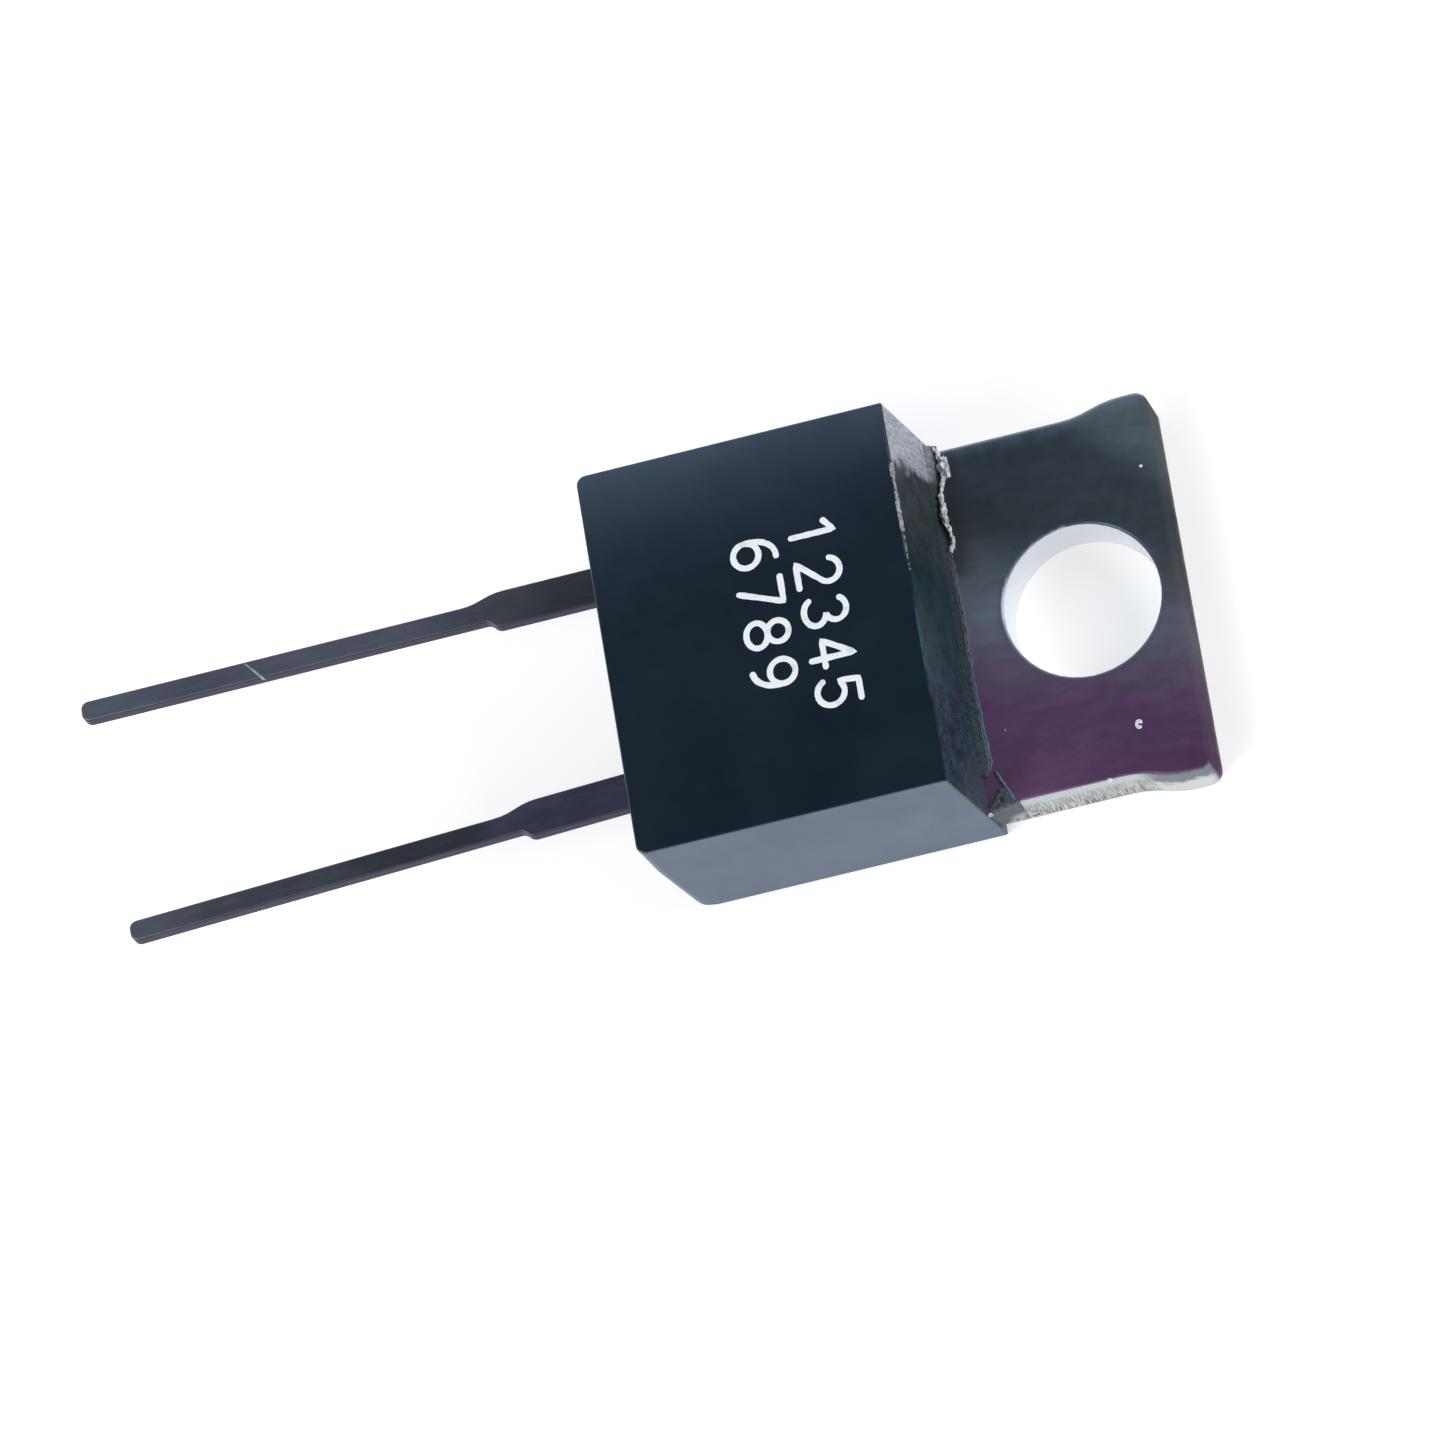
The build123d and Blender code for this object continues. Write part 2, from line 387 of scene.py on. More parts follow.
def rim_tones(finish, mottle):
    """Colours of that rim: grey at the left, then dark, with a broken teal line."""
    across = finish.axis("Y")
    tone = finish.blend(finish.fade(across, 1.2, 0.6), (0.060, 0.066, 0.074), (0.008, 0.018, 0.024))
    teal = finish.overlap(finish.fade(across, 0.1, -0.9), finish.fade(across, -3.0, -2.3))
    teal = finish.overlap(teal, finish.fade(mottle, 0.40, 0.56, 0.3, 1))
    return finish.blend(teal, tone, (0.034, 0.096, 0.112))


def epoxy(name):
    """Blue-black moulding compound: satin skin, duller sides, and a trimmed wall above the tab."""
    finish = Finish(name)
    cloud = finish.grain(2.5, detail=3)
    mottle = finish.grain(0.5, detail=5)
    fine = finish.grain(0.05, detail=3)
    drawn = finish.grain(0.08, stretch=(0.06, 1, 1))
    wall = finish.facing("X")
    below = finish.fade(finish.axis("Z"), tab_top / MM - 0.05, tab_top / MM - 0.2)
    sides = finish.calc("MAXIMUM", finish.facing("Y", both_ways=True), finish.overlap(wall, below))
    wall = finish.overlap(wall, finish.outside(below))
    rim = wall_rim(finish)
    worn = finish.overlap(finish.edges(0.06), finish.fade(mottle, 0.45, 0.62, 0.15, 1))
    body = finish.blend(wall, skin_tones(finish, cloud, sides), trimmed_tones(finish, mottle))
    body = finish.blend(worn, body, (0.075, 0.095, 0.115))
    sheen = finish.fade(rim, 0, 1, 1, 0.1)
    specular = finish.plus(finish.plus(0.25, sides, 0.30), wall, -0.1)
    coat = finish.plus(finish.fade(mottle, 0.3, 0.7, 1.0, 0.9), sides, -0.3)
    relief = finish.relief(fine, 0.004, 0.4)
    relief = finish.relief(drawn, 0.003, 0.25, under=relief)
    relief = finish.relief(finish.overlap(finish.grain(0.12), wall), 0.03, 0.7, under=relief)
    finish.set(
        Base_Color=finish.blend(rim, body, rim_tones(finish, mottle)),
        Roughness=finish.plus(finish.fade(cloud, 0.3, 0.7, 0.34, 0.44), wall, 0.1),
        Specular_IOR_Level=finish.overlap(sheen, specular),
        Coat_Weight=finish.overlap(sheen, finish.plus(coat, wall, -0.75)),
        Coat_Roughness=finish.plus(finish.fade(mottle, 0.3, 0.7, 0.16, 0.22), wall, 0.16),
        Coat_IOR=1.5,
        Coat_Tint=(0.7, 0.88, 1.0),
        Normal=relief,
    )
    return finish.material


def from_hole(finish):
    """Distance from the axis of the hole, in millimetres."""
    along, across = finish.axis("X"), finish.axis("Y")
    square = finish.calc("MULTIPLY", across, across)
    return finish.calc("SQRT", finish.calc("MULTIPLY_ADD", along, along, square))


def tab_face_tones_with_painted_light(finish, mottle):
    """Colours of the tab's flat faces, from purple at the right through a pale grey band to green-black:
    partly tarnished metal, partly a painted reflection, with painted shade in a strip beside the crumbs at
    the foot of the wall and painted light over the part nearer the wall.
    """
    along, across = finish.axis("X"), finish.axis("Y")
    slant = finish.plus(across, along, 0.31)
    drift = finish.plus(slant, finish.grain(1.6, detail=3), 0.8)
    # Partly tarnished metal, partly a painted reflection: the pale grey band across the middle and the turn
    # from purple to green-black.
    tarnish_and_painted_light = finish.tones(
        finish.fade(drift, -4.6, 5.4, smooth=False),
        (0.0, (0.138, 0.064, 0.150)),
        (0.20, (0.155, 0.075, 0.184)),
        (0.33, (0.175, 0.128, 0.208)),
        (0.44, (0.192, 0.205, 0.270)),
        (0.56, (0.115, 0.126, 0.152)),
        (0.70, (0.062, 0.078, 0.092)),
        (1.0, (0.056, 0.074, 0.092)),
    )
    corner = finish.fade(finish.calc("ADD", along, across), 4.3, 6.2, 0, 0.85)
    tarnish_and_painted_light = finish.blend(corner, tarnish_and_painted_light, (0.155, 0.192, 0.212))
    streaks = finish.grain(0.30, detail=5, roughness=0.7, stretch=(0.35, 1, 1))
    tarnish_and_painted_light = finish.tinted(tarnish_and_painted_light, finish.grey(finish.fade(streaks, 0.35, 0.65, 0.92, 1.09)))
    rolled_rim = finish.fade(from_hole(finish), hole_radius / MM + 0.22, hole_radius / MM, 0, 0.75)
    tarnish_and_painted_light = finish.blend(rolled_rim, tarnish_and_painted_light, (0.085, 0.120, 0.160))
    # Painted light: the tab is brightened near the wall, against the shade and the dark reflection of the
    # wall it has there.
    painted_light_by_wall = finish.overlap(finish.fade(along, 0.8, -2.6), finish.fade(slant, 2.2, 0.4))
    tarnish_and_painted_light = finish.blend(painted_light_by_wall, tarnish_and_painted_light, finish.tinted(tarnish_and_painted_light, (1.75, 1.86, 1.72)))
    # Painted shade: a dark strip on the tab beside the crumbs at the foot of the wall.
    painted_shade_by_wall = finish.fade(along, foot_x / MM + 0.85, foot_x / MM + 0.35, 0, 0.55)
    painted_shade_by_wall = finish.overlap(painted_shade_by_wall, finish.fade(finish.plus(across, mottle, 0.8), 1.6, 2.2))
    tarnish_and_painted_light = finish.blend(painted_shade_by_wall, tarnish_and_painted_light, (0.028, 0.034, 0.040))
    return finish.blend(finish.fade(mottle, 0.35, 0.75, 0.0, 0.06), tarnish_and_painted_light, (0.16, 0.17, 0.19))


def fringed(finish, tarnish_and_painted_light, mottle):
    """The tab's colours, bright along the tab's left outline and most of all at its flared head."""
    along = finish.axis("X")
    widths = waist_half_width / MM, head_half_width / MM
    outline = finish.fade(along, waist_end / MM, head_start / MM, *widths)
    inside = finish.calc("SUBTRACT", outline, finish.axis("Y"))
    patchy = finish.fade(mottle, 0.35, 0.6, 0.25, 0.55)
    patchy = finish.calc("ADD", patchy, finish.fade(along, 0.8, 2.2, 0, 0.4))
    fringe = finish.overlap(finish.fade(inside, 0.5, 0.0), patchy)
    tarnish_and_painted_light = finish.blend(fringe, tarnish_and_painted_light, (0.21, 0.26, 0.34))
    return finish.blend(finish.fade(inside, 0.17, 0.04, 0, 0.75), tarnish_and_painted_light, (0.30, 0.33, 0.38))


def sheared_tones(finish, mottle, tears):
    """Colours of the sheared sides: torn, streaked low down, burnished at the top, smeared at the head."""
    along, height = finish.axis("X"), finish.axis("Z")
    top = tab_top / MM
    torn = finish.tones(
        tears,
        (0.36, (0.29, 0.29, 0.29)),
        (0.50, (0.50, 0.50, 0.49)),
        (0.66, (0.71, 0.71, 0.69)),
    )
    streaked = finish.overlap(finish.fade(tears, 0.55, 0.42), finish.fade(height, 0.75, 0.15, 0, 0.8))
    torn = finish.blend(streaked, torn, (0.14, 0.14, 0.15))
    burnished = finish.fade(finish.plus(height, mottle, 0.3), top - 0.4, top - 0.1)
    torn = finish.blend(finish.fade(burnished, 0, 1, 0, 0.9), torn, (0.62, 0.65, 0.64))
    flared = finish.fade(finish.plus(along, mottle, 0.8), 0.9, 1.5)
    smeared = finish.fade(finish.plus(height, mottle, 0.9), top - 0.38, top - 0.06)
    return finish.blend(flared, torn, finish.blend(smeared, (0.69, 0.69, 0.68), (0.150, 0.172, 0.182)))


def end_tones(finish, tarnish_and_painted_light, mottle):
    """Colours of the tab's free end: the tab's colours darkened as painted shade, with a rubbed lower edge.
    """
    rubbed = finish.fade(finish.axis("Z"), 0.55, 0.0)
    rubbed = finish.overlap(rubbed, finish.fade(mottle, 0.40, 0.60, 0.3, 0.9))
    # Painted shade: the free end is darkened and greyed.
    dull = finish.blend(0.25, finish.tinted(tarnish_and_painted_light, (0.66, 0.64, 0.60)), (0.075, 0.075, 0.080))
    return finish.blend(rubbed, dull, (0.19, 0.19, 0.20))


def plated_tab_with_painted_light():
    """Plated copper: tarnished faces with painted reflection, light and shade, a rolled grain, bright sheared
    sides and a brighter bore; its free end is darkened as painted shade.
    """
    finish = Finish("plated_tab_with_painted_light")
    mottle = finish.grain(0.35, detail=5)
    tears = finish.grain(0.035, detail=2, stretch=(1, 1, 0.08))
    rolled = finish.grain(0.05, stretch=(0.12, 1, 1))
    along, end = finish.axis("X"), tab_high.x / MM
    upright = finish.facing("Z", 0.75, 0.3, both_ways=True)
    sheared = finish.overlap(upright, finish.outside(finish.fade(along, end - 0.20, end - 0.05)))
    bored = finish.fade(from_hole(finish), hole_radius / MM + 0.2, hole_radius / MM + 0.1)
    bored = finish.overlap(bored, upright)
    free_end = finish.fade(along, end - 0.16, end - 0.06)
    worn = finish.overlap(finish.edges(0.07), finish.fade(mottle, 0.35, 0.6, 0.05, 0.35))
    tarnish_and_painted_light = fringed(finish, tab_face_tones_with_painted_light(finish, mottle), mottle)
    flat = finish.blend(worn, tarnish_and_painted_light, (0.24, 0.26, 0.29))
    flat = finish.blend(free_end, flat, end_tones(finish, tarnish_and_painted_light, mottle))
    torn = finish.blend(bored, sheared_tones(finish, mottle, tears), (0.97, 0.97, 0.97))
    plated = finish.calc("MAXIMUM", finish.fade(sheared, 0, 1, 0.55, 0.35), bored)
    relief = finish.relief(rolled, 0.004, 0.35)
    finish.set(
        Base_Color=finish.blend(sheared, flat, torn),
        Metallic=finish.overlap(plated, finish.fade(free_end, 0, 1, 1, 0)),
        Specular_IOR_Level=finish.fade(free_end, 0, 1, 0.5, 0.0),
        Roughness=finish.plus(finish.fade(mottle, 0.3, 0.7, 0.31, 0.38), bored, -0.18),
        Normal=finish.relief(finish.overlap(tears, sheared), 0.02, 0.5, under=relief),
    )
    return finish.material


def tinned(name, blade_tones, shank_tones, dark_run):
    """Tinned lead, dulled to slate. Its darker run has four stations, from the case outwards, and a depth."""
    finish = Finish(name)
    cloud = finish.grain(1.1, detail=3, stretch=(0.3, 1, 1))
    mottle = finish.grain(0.12, detail=4, stretch=(0.25, 1, 1))
    along, tip = finish.axis("X"), lead_low.x / MM
    blade = finish.tones(cloud, (0.3, blade_tones[0]), (0.7, blade_tones[1]))
    shank = finish.tones(cloud, (0.3, shank_tones[0]), (0.7, shank_tones[1]))
    dull = finish.blend(finish.fade(along, -16.5, -13.8), blade, shank)
    dull = finish.blend(finish.fade(mottle, 0.4, 0.75, 0.0, 0.12), dull, (0.18, 0.19, 0.23))
    dull = finish.blend(finish.fade(along, tip + 2.6, tip + 0.8, 0, 0.7), dull, (0.150, 0.175, 0.212))
    start, full, fading, end, depth = dark_run
    dark = finish.overlap(finish.fade(along, start, full), finish.fade(along, end, fading, 0, depth))
    dull = finish.blend(dark, dull, (0.016, 0.021, 0.026))
    upright = finish.facing("Z", 0.85, 0.45, both_ways=True)
    finish.set(
        Base_Color=finish.blend(upright, dull, (0.026, 0.026, 0.058)),
        Metallic=finish.fade(upright, 0, 1, 0.6, 0.3),
        Specular_IOR_Level=finish.fade(upright, 0, 1, 0.5, 0.2),
        Roughness=finish.fade(mottle, 0.3, 0.7, 0.36, 0.44),
        Normal=finish.relief(finish.grain(0.04, stretch=(0.1, 1, 1)), 0.003, 0.3),
    )
    return finish.material


def solder(name):
    """Bright solder with frosty grain."""
    finish = Finish(name)
    frost = finish.grain(0.12, detail=5)
    finish.set(
        Base_Color=finish.tones(frost, (0.3, (0.42, 0.43, 0.45)), (0.7, (0.66, 0.67, 0.68))),
        Metallic=1.0,
        Roughness=finish.fade(frost, 0.3, 0.7, 0.25, 0.5),
        Normal=finish.relief(frost, 0.02, 0.5),
    )
    return finish.material


def alumina():
    """White sintered ceramic with fine grey pores."""
    finish = Finish("alumina")
    grains = finish.grain(0.05, detail=4)
    pores = finish.fade(finish.grain(0.11, detail=2), 0.68, 0.75)
    pale = finish.tones(grains, (0.3, (0.72, 0.71, 0.68)), (0.7, (0.84, 0.83, 0.80)))
    finish.set(
        Base_Color=finish.blend(pores, pale, (0.45, 0.43, 0.40)),
        Roughness=finish.fade(grains, 0.3, 0.7, 0.5, 0.7),
        Subsurface_Weight=0.1,
        Subsurface_Scale=0.3 * MM,
        Normal=finish.relief(grains, 0.006, 0.5),
    )
    return finish.material


def printed_silver(name):
    """Fired silver ink with the weave of the printing screen."""
    finish = Finish(name)
    grains = finish.grain(0.06, detail=4)
    mesh_lines = (finish.calc("MULTIPLY", finish.axis(letter), 40) for letter in "XY")
    weave = finish.overlap(*(finish.calc("SINE", line) for line in mesh_lines))
    finish.set(
        Base_Color=finish.tones(grains, (0.3, (0.50, 0.49, 0.46)), (0.7, (0.68, 0.67, 0.64))),
        Metallic=0.9,
        Roughness=finish.fade(grains, 0.3, 0.7, 0.4, 0.6),
        Normal=finish.relief(weave, 0.004, 0.4, under=finish.relief(grains, 0.005, 0.5)),
    )
    return finish.material


def resistor_ink():
    """Dark ruthenium ink, glassy, with pale flecks."""
    finish = Finish("resistor_ink")
    grains = finish.grain(0.08, detail=5)
    dark = finish.tones(grains, (0.3, (0.018, 0.017, 0.016)), (0.7, (0.050, 0.046, 0.042)))
    flecks = finish.fade(finish.grain(0.04, detail=1), 0.7, 0.76)
    finish.set(
        Base_Color=finish.blend(flecks, dark, (0.20, 0.19, 0.18)),
        Roughness=finish.fade(grains, 0.3, 0.7, 0.3, 0.5),
        Normal=finish.relief(grains, 0.006, 0.5),
    )
    return finish.material


def overglaze():
    """Green fired glass with small bubbles."""
    finish = Finish("overglaze")
    cloud = finish.grain(0.7, detail=3)
    bubbles = finish.fade(finish.grain(0.07, detail=1), 0.66, 0.72)
    green = finish.tones(cloud, (0.3, (0.010, 0.060, 0.040)), (0.7, (0.020, 0.100, 0.065)))
    finish.set(
        Base_Color=finish.blend(bubbles, green, (0.10, 0.22, 0.17)),
        Roughness=finish.fade(cloud, 0.3, 0.7, 0.12, 0.22),
        Coat_Weight=0.6,
        Normal=finish.relief(bubbles, 0.006, 0.4),
    )
    return finish.material


def marking_ink():
    """Thin white ink, greyer where it is worn."""
    finish = Finish("marking_ink")
    patch = finish.grain(0.5, detail=3)
    pits = finish.fade(finish.grain(0.05, detail=3), 0.60, 0.72)
    white = finish.tones(patch, (0.28, (0.62, 0.68, 0.72)), (0.42, (0.97, 0.98, 0.98)))
    finish.set(
        Base_Color=finish.blend(pits, white, (0.66, 0.72, 0.78)),
        Roughness=finish.fade(patch, 0.3, 0.7, 0.5, 0.65),
        Normal=finish.relief(finish.grain(0.04), 0.004, 0.5),
    )
    return finish.material


def resin_flash():
    """Excess resin along the foot of the wall, with a thin lip: grey, then lilac, then teal. Its slope is the
    trimmed resin darkened as painted shade.
    """
    finish = Finish("resin_flash")
    mottle = finish.grain(0.12, detail=4)
    lip = finish.tones(
        finish.fade(finish.axis("Y"), -4.2, 4.8, smooth=False),
        (0.0, (0.060, 0.070, 0.085)),
        (0.08, (0.120, 0.190, 0.210)),
        (0.22, (0.075, 0.150, 0.185)),
        (0.42, (0.110, 0.115, 0.150)),
        (0.62, (0.120, 0.120, 0.155)),
        (0.72, (0.050, 0.060, 0.072)),
        (1.0, (0.050, 0.056, 0.062)),
    )
    # Painted shade: the upward-facing slope is darkened against the light it takes from overhead.
    slope = finish.blend(0.4, trimmed_tones(finish, finish.grain(0.5, detail=5)), (0.002, 0.016, 0.030))
    thin = finish.fade(finish.axis("Z"), tab_top / MM + 0.075, tab_top / MM + 0.045)
    finish.set(
        Base_Color=finish.blend(thin, slope, lip),
        Roughness=finish.fade(mottle, 0.3, 0.7, 0.42, 0.54),
        Specular_IOR_Level=0.15,
        Normal=finish.relief(mottle, 0.02, 0.5),
    )
    return finish.material


def corner_resin():
    """Dark flake of resin, half clear at its thin lower tip, where the paper seen through it is painted in as
    a paler colour.
    """
    finish = Finish("corner_resin")
    mottle = finish.grain(0.10, detail=5)
    dark = finish.tones(mottle, (0.35, (0.044, 0.050, 0.062)), (0.6, (0.120, 0.130, 0.155)))
    # Painted light: the thin tip is paler where the paper would show through it.
    tip = finish.fade(finish.axis("X"), foot_x / MM + 0.3, foot_x / MM + 0.55)
    tip = finish.overlap(tip, finish.fade(finish.axis("Z"), 0.75, 0.5))
    finish.set(
        Base_Color=finish.blend(tip, dark, (0.40, 0.41, 0.45)),
        Roughness=finish.fade(mottle, 0.3, 0.7, 0.35, 0.6),
        Normal=finish.relief(mottle, 0.02, 0.6),
    )
    return finish.material


def broken_resin(name, dull, pale, bright):
    """Broken resin in its own tones, with painted shade in its dull hollows and painted highlights on its
    bright crests.
    """
    finish = Finish(name)
    mottle = finish.grain(0.10, detail=5)
    finish.set(
        # Painted shade and highlight: the colour runs with the bump, dark in its hollows and bright on its
        # crests.
        Base_Color=finish.tones(mottle, (0.30, dull), (0.46, pale), (0.64, bright)),
        Roughness=finish.fade(mottle, 0.3, 0.7, 0.35, 0.7),
        Normal=finish.relief(mottle, 0.03, 0.8),
    )
    return finish.material


def dress(node, material):
    """Gives a CAD node its material."""
    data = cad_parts[node].data
    data.materials.clear()
    data.materials.append(material)


case_finish = epoxy("case_epoxy")
flash_finish = resin_flash()
corner_finish = corner_resin()
broken_finish = broken_resin("broken_resin", (0.16, 0.16, 0.17), (0.46, 0.46, 0.48), (0.90, 0.91, 0.95))
thread_finish = broken_resin("resin_thread", (0.06, 0.09, 0.12), (0.10, 0.16, 0.21), (0.14, 0.22, 0.28))
chip_finish = broken_resin("chipped_rim", (0.10, 0.11, 0.12), (0.26, 0.26, 0.28), (0.42, 0.42, 0.46))
speck_finish = broken_resin("stuck_speck", (0.55, 0.55, 0.54), (0.80, 0.80, 0.79), (0.92, 0.92, 0.92))
ink_finish = marking_ink()
tab_finish = plated_tab_with_painted_light()

dress("epoxy_case", case_finish)
dress("heat_tab", tab_finish)
dress("ceramic_substrate", alumina())
dress("solder_layer", solder("solder_layer"))
dress("resistor_film", resistor_ink())
dress("glass_overglaze", overglaze())
lead_tones = {             # blade, shank, darker run
    "left": (
        ((0.096, 0.103, 0.139), (0.136, 0.144, 0.188)),
        ((0.066, 0.065, 0.077), (0.096, 0.095, 0.109)),
        (-9.0, -9.8, -12.8, -13.8, 0.42),
    ),
    "right": (
        ((0.074, 0.079, 0.105), (0.102, 0.108, 0.138)),
        ((0.056, 0.052, 0.094), (0.086, 0.081, 0.140)),
        (-15.0, -15.8, -17.8, -20.3, 0.55),
    ),
}
for side, tones in lead_tones.items():
    dress(f"lead_{side}", tinned(f"tinned_lead_{side}", *tones))
    dress(f"solder_joint_{side}", solder(f"solder_joint_{side}"))
    dress(f"conductor_pad_{side}", printed_silver(f"printed_silver_{side}"))

# ------------------------------------------------------------------ added real detail

chance = random.Random(7)
UP = Vector((0, 0, 1))


def piece(name, mesh, material):
    """Makes a piece from a bmesh, in the frame of the part, and lets it ride on its one body."""
    bmesh.ops.recalc_face_normals(mesh, faces=mesh.faces)
    data = bpy.data.meshes.new(name)
    mesh.to_mesh(data)
    mesh.free()
    data.materials.append(material)
    data.shade_smooth()
    added = bpy.data.objects.new(name, data)
    bpy.context.scene.collection.objects.link(added)
    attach(added, "root")
    return added


def bead(mesh, stations, up, sink=0.02 * MM, around=8, crown=1):
    """Closed low ridge through stations of (point, half width, height). Crown 1 is round, 2 a gable."""
    rings = []
    last = len(stations) - 1
    for index, (point, half_width, height) in enumerate(stations):
        along = stations[min(index + 1, last)][0] - stations[max(index - 1, 0)][0]
        across = up.cross(along).normalized()
        ring = []
        for step in range(around + 1):
            turn = math.pi * step / around
            out = math.copysign(abs(math.cos(turn)) ** crown, math.cos(turn))
            ring.append(point + across * half_width * out + up * height * abs(math.sin(turn)) ** crown)
        ring += [point - across * half_width - up * sink, point + across * half_width - up * sink]
        rings.append([mesh.verts.new(place) for place in ring])
    for first, second in zip(rings, rings[1:]):
        for index in range(len(first)):
            following = (index + 1) % len(first)
            mesh.faces.new((first[index], first[following], second[following], second[index]))
    mesh.faces.new(rings[0])
    mesh.faces.new(reversed(rings[-1]))


def rounded(points, half_width, height):
    """Stations along the points, with half-round ends."""
    ends = [math.radians(angle) for angle in (80, 55, 28)]
    first = (points[0] - points[1]).normalized() * half_width
    last = (points[-1] - points[-2]).normalized() * half_width
    start = [(points[0] + first * math.sin(a), math.cos(a)) for a in ends]
    finish = [(points[-1] + last * math.sin(a), math.cos(a)) for a in reversed(ends)]
    shares = start + [(point, 1) for point in points] + finish
    return [(point, half_width * share, height * share) for point, share in shares]


# Figures of the marking, as strokes in a box 0.66 wide and 1 high.


def arc(centre, radii, start, end):
    """Points along part of an ellipse, between two angles."""
    steps = max(2, round(abs(end - start) / 15))
    turns = [math.radians(start + (end - start) * step / steps) for step in range(steps + 1)]
    return [(centre[0] + radii[0] * math.cos(t), centre[1] + radii[1] * math.sin(t)) for t in turns]


FIGURES = {
    "1": [[(0.10, 0.80), (0.36, 1.0), (0.36, 0.0)]],
    "2": [arc((0.32, 0.72), (0.29, 0.28), 165, -30) + [(0.03, 0.0), (0.63, 0.0)]],
    "3": [arc((0.30, 0.75), (0.28, 0.25), 150, -75) + arc((0.30, 0.26), (0.33, 0.26), 80, -155)],
    "4": [[(0.46, 0.0), (0.46, 1.0), (0.02, 0.30), (0.66, 0.30)]],
    "5": [[(0.60, 1.0), (0.12, 1.0), (0.07, 0.56)] + arc((0.31, 0.32), (0.32, 0.32), 125, -150)],
    "6": [arc((0.45, 0.45), (0.42, 0.55), 85, 180) + arc((0.33, 0.30), (0.30, 0.30), 180, 530)],
    "7": [[(0.02, 1.0), (0.64, 1.0), (0.24, 0.0)]],
    "8": [arc((0.33, 0.75), (0.26, 0.25), 270, -90), arc((0.33, 0.25), (0.31, 0.25), 90, 450)],
    "9": [arc((0.21, 0.55), (0.42, 0.55), -85, 0) + arc((0.33, 0.70), (0.30, 0.30), 0, 350)],
}

figure_height = 1.08 * MM
figure_pitch = 1.07 * MM
stroke_half_width = 0.078 * MM
ink_thickness = 0.012 * MM
marking = {                # text, drop of its base line from the rim, reach of its first figure
    "marking_upper": ("12345", 2.80 * MM, 2.50 * MM),
    "marking_lower": ("6789", 4.32 * MM, 2.30 * MM),
}


def smooth_run(corners, spacing=0.06):
    """Points about that far apart along straight runs between the corners."""
    run = [Vector(corners[0])]
    for start, end in zip(corners, corners[1:]):
        start, end = Vector(start), Vector(end)
        steps = max(1, round((end - start).length / spacing))
        run += [start.lerp(end, step / steps) for step in range(1, steps + 1)]
    return run


def print_line(name, text, drop, reach):
    """Line of figures that reads along -Y with its tops towards +X."""
    waver, waver_size = 0.16, 0.16 * MM
    mesh = bmesh.new()
    for place, figure in enumerate(text):
        corner = Vector((rim_x - drop, reach - place * figure_pitch, face_height))
        for stroke in FIGURES[figure]:
            points = [corner + Vector((point.y, -point.x, 0)) * figure_height for point in smooth_run(stroke)]
            stations = []
            for spot, half_width, height in rounded(points, stroke_half_width, ink_thickness):
                swell = 1 + waver * noise.noise(spot / waver_size)
                stations.append((spot, half_width * swell, height))
            bead(mesh, stations, UP, sink=0.004 * MM)
    piece(name, mesh, ink_finish)


for name, (text, drop, reach) in marking.items():
    print_line(name, text, drop, reach)


def lump(mesh, centre, radii, jag=0.35):
    """Irregular closed crumb."""
    seed = Vector([chance.uniform(-9, 9) for _ in range(3)])
    made = bmesh.ops.create_icosphere(mesh, subdivisions=2, radius=1)
    for vertex in made["verts"]:
        swell = 1 + jag * noise.noise(vertex.co * 1.6 + seed)
        vertex.co = centre + Vector([c * r * swell for c, r in zip(vertex.co, radii)])


def fused(shape, voxel, smoothing=2):
    """Joins overlapping crumbs into one skin."""
    remesh = shape.modifiers.new("fused", "REMESH")
    remesh.mode = "VOXEL"
    remesh.voxel_size = voxel
    remesh.use_smooth_shade = True
    soften = shape.modifiers.new("softened", "SMOOTH")
    soften.factor = 0.5
    soften.iterations = smoothing


def roughen(mesh, amount, size):
    """Pushes the skin in and out by up to that amount, with bumps of that size."""
    mesh.normal_update()
    for vertex in mesh.verts:
        vertex.co += vertex.normal * amount * noise.noise(vertex.co / size)


def ridge_of_lumps(mesh, places, count, width, height, jag=0.35):
    """Crumbs in a ragged row through the places."""
    run = smooth_run(places, spacing=(places[-1] - places[0]).length / count)
    for place in run:
        size = chance.uniform(0.6, 1.0)
        spot = place + Vector((width * chance.uniform(-0.3, 0.3), 0, 0))
        lump(mesh, spot, (width * size * 0.65, width * chance.uniform(0.7, 1.2), height * size), jag)


def at_foot(*places):
    """Places on the tab, as (distance from the foot of the wall, reach to the left), in mm."""
    return [Vector((foot_x + out * MM, reach * MM, tab_top)) for out, reach in places]


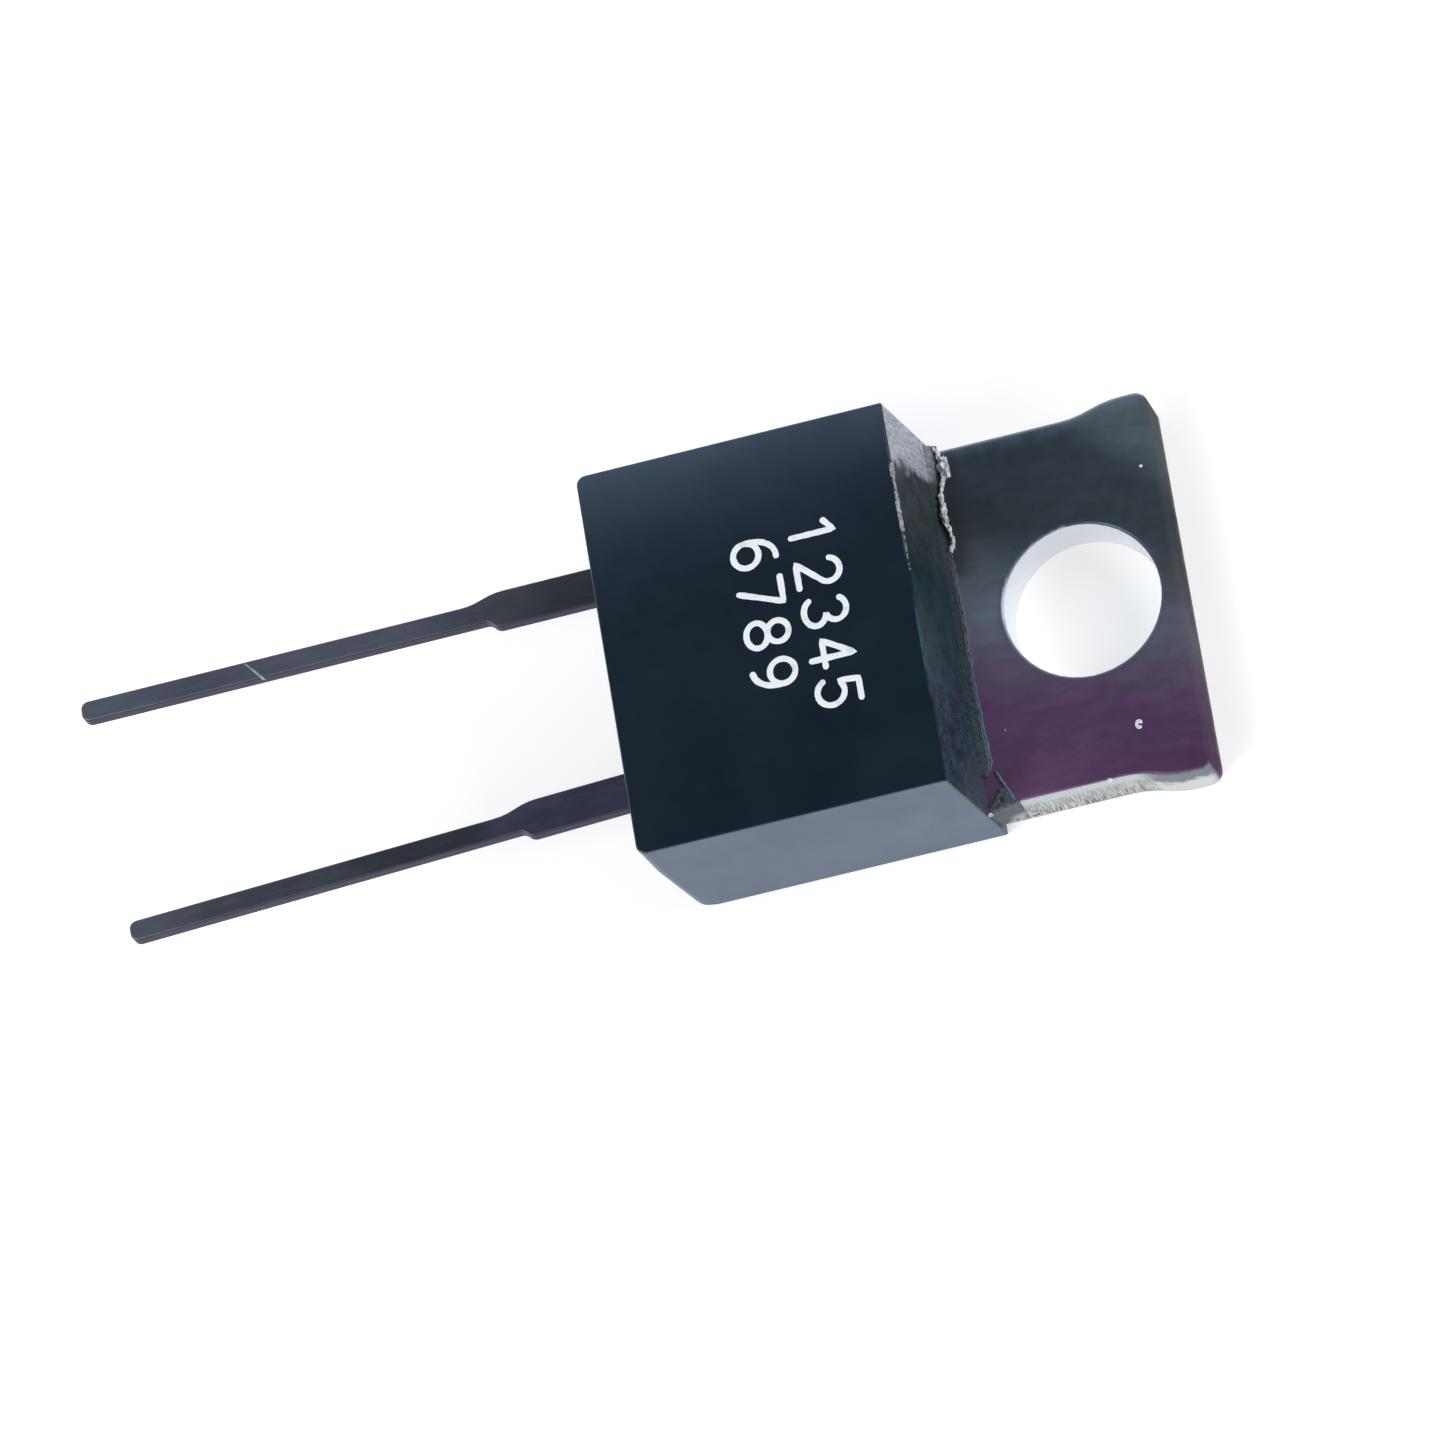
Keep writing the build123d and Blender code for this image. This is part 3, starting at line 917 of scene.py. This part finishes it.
def junction_flash():
    """Excess resin where the wall meets the tab: a slope against the wall and a thin lip at its edge."""
    tuck = 0.05 * MM           # of the slope into the wall
    slope_height = 0.24 * MM
    lip_half_width = 0.035 * MM
    lip_height = 0.045 * MM
    outline = (
        (0.24, 4.95), (0.22, 4.4), (0.16, 3.6), (0.10, 3.1), (0.16, 2.4), (0.19, 1.2), (0.21, 0),
        (0.18, -1.4), (0.20, -2.6), (0.27, -3.5), (0.24, -3.75), (0.06, -4.0),
    )
    mesh = bmesh.new()
    slope, lip = [], []
    for spot in smooth_run(at_foot(*outline), spacing=0.04 * MM):
        reach = spot.x - foot_x + 0.035 * MM * noise.noise(spot / (0.15 * MM))
        slope.append((Vector((foot_x - tuck, spot.y, spot.z)), reach + tuck, slope_height))
        swell = 1 + 0.5 * noise.noise(spot / (0.11 * MM))
        lip.append((Vector((foot_x + reach, spot.y, spot.z)), lip_half_width * swell, lip_height * swell))
    bead(mesh, slope, UP, around=18, crown=1.7)
    bead(mesh, lip, UP)
    roughen(mesh, 0.02 * MM, 0.07 * MM)
    piece("junction_flash", mesh, flash_finish)


def junction_crumbs():
    """Chalky broken edge of the excess resin, at its left end."""
    rows = (               # first place, last place, crumbs, width, height
        ((0.24, 4.84), (0.30, 4.55), 6, 0.11, 0.16),
        ((0.36, 4.45), (0.36, 4.28), 5, 0.18, 0.20),
        ((0.31, 4.15), (0.22, 3.72), 9, 0.09, 0.17),
        ((0.20, 3.62), (0.15, 3.20), 9, 0.11, 0.20),
        ((0.15, 3.14), (0.20, 2.80), 7, 0.13, 0.22),
        ((0.23, 2.70), (0.26, 2.42), 6, 0.08, 0.17),
        ((0.26, 2.34), (0.21, 2.12), 5, 0.10, 0.16),
    )
    mesh = bmesh.new()
    for start, end, count, width, height in rows:
        ridge_of_lumps(mesh, at_foot(start, end), count, width * MM, height * MM, jag=0.9)
    fused(piece("junction_crumbs", mesh, broken_finish), 0.018 * MM, smoothing=1)


def corner_flash():
    """Flake of resin over the right corner of the tab, where it leaves the case."""
    levels, columns = 22, 7
    top = tab_top + 0.02 * MM
    drop = 0.9 * MM
    rows = (               # reach to the left, first and last distance from the foot of the wall, in mm
        (-4.80, 0.08, 0.66),
        (-4.68, 0.14, 0.60),
        (-4.56, 0.22, 0.54),
        (-4.45, 0.32, 0.48),
    )
    mesh = bmesh.new()
    for level in range(levels + 1):
        depth = level / levels
        height = top - drop * depth
        width = (0.70 - 0.12 * depth) * MM
        for column in range(columns + 1):
            share = column / columns
            spot = Vector((wall_x(height) + width * share, waist_side, height))
            spot.y -= 0.10 * MM * (1 - share) ** 2
            lump(mesh, spot, (0.10 * MM, (0.11 - 0.05 * share) * MM, 0.06 * MM))
    for reach, start, end in rows:
        ridge_of_lumps(mesh, at_foot((start, reach), (end, reach)), 6, 0.10 * MM, 0.04 * MM)
    fused(piece("corner_flash", mesh, corner_finish), 0.03 * MM, smoothing=3)


def corner_thread():
    """Thin thread of resin across the right corner of the tab."""
    mesh = bmesh.new()
    points = smooth_run(at_foot((0.34, -3.95), (0.50, -4.35), (0.72, -4.84)), spacing=0.05 * MM)
    bead(mesh, rounded(points, 0.040 * MM, 0.035 * MM), UP)
    roughen(mesh, 0.02 * MM, 0.06 * MM)
    piece("corner_thread", mesh, thread_finish)


def corner_crumbs():
    """White crumbs at the ends of the flake: one at the foot of the wall and a few at its lower tip."""
    mesh = bmesh.new()
    at_wall = Vector((foot_x + 0.03 * MM, case_low.y + 0.06 * MM, tab_top + 0.10 * MM))
    lump(mesh, at_wall, (0.08 * MM, 0.05 * MM, 0.10 * MM))
    for _ in range(9):
        out = chance.uniform(0.85, 1.30) * MM
        height = chance.uniform(0.07, 0.45) * MM
        size = chance.uniform(0.03, 0.06) * MM
        lump(mesh, Vector((foot_x + out, waist_side, height)), (size * 1.6, size * 0.8, size))
    fused(piece("corner_crumbs", mesh, broken_finish), 0.02 * MM, smoothing=1)


def rim_chips():
    """Pale chips along the rim of the marked face, above the wall, finer towards the right."""
    rim = Vector((rim_x - 0.005 * MM, 0, face_height - 0.03 * MM))
    outward = Vector((0.8, 0, 0.6)).normalized()
    first, last, fine_from = 3.4 * MM, 0.6 * MM, 1.7 * MM
    runs = 6                   # straight runs in a chip
    mesh = bmesh.new()
    reach = first
    while reach > last:
        length = chance.uniform(0.12, 0.45) * MM
        half_width = chance.uniform(0.035, 0.07) * MM * (0.35 if reach < fine_from else 1)
        points = []
        for step in range(runs + 1):
            offset = Vector((chance.uniform(-0.015, 0.015) * MM, reach - length * step / runs, 0))
            points.append(rim + offset)
        bead(mesh, rounded(points, half_width, half_width * 0.5), outward)
        reach -= length + chance.uniform(0.01, 0.10) * MM
    piece("rim_chips", mesh, chip_finish)


def tab_specks():
    """White specks that stick to the tab: a small open ring, two grains and one on its right side."""
    ring_centre = Vector((0.86 * MM, -3.58 * MM, tab_top))
    grains = ((2.05, 3.11, 0.045), (-2.47, -2.9, 0.02))    # x, y and radius, in mm
    on_side = Vector((-0.11 * MM, waist_side, tab_top - 0.05 * MM))
    mesh = bmesh.new()
    ring = [ring_centre + Vector((x, y, 0)) for x, y in arc((0, 0), (0.060 * MM, 0.085 * MM), 30, 290)]
    bead(mesh, rounded(ring, 0.045 * MM, 0.03 * MM), UP)
    for x, y, radius in grains:
        lump(mesh, Vector((x * MM, y * MM, tab_top)), (radius * MM, radius * MM, radius * 0.6 * MM))
    lump(mesh, on_side, (0.08 * MM, 0.05 * MM, 0.09 * MM))
    piece("tab_specks", mesh, speck_finish)


def lead_scratch():
    """Bright burr thrown up by a scratch across the left lead, broader towards its end."""
    start = Vector((lead_low.x + 4.34 * MM, lead_high.y - 0.51 * MM, lead_high.z))
    burr_height = 0.010 * MM
    half_widths = ((0, 0.012), (0.3, 0.019), (0.65, 0.028), (0.9, 0.032), (1, 0.008))   # share, mm
    mesh = bmesh.new()
    stations = []
    for share, half_width in half_widths:
        spot = start + Vector((0.46 * share, -0.56 * share, 0)) * MM
        stations.append((spot, half_width * MM, burr_height))
    bead(mesh, stations, UP)
    piece("lead_scratch", mesh, solder("scratch_burr"))


junction_flash()
junction_crumbs()
corner_flash()
corner_thread()
corner_crumbs()
rim_chips()
tab_specks()
lead_scratch()

# ---------------------------------------------------------------------------- output

bpy.context.scene.view_settings.view_transform = "Standard"
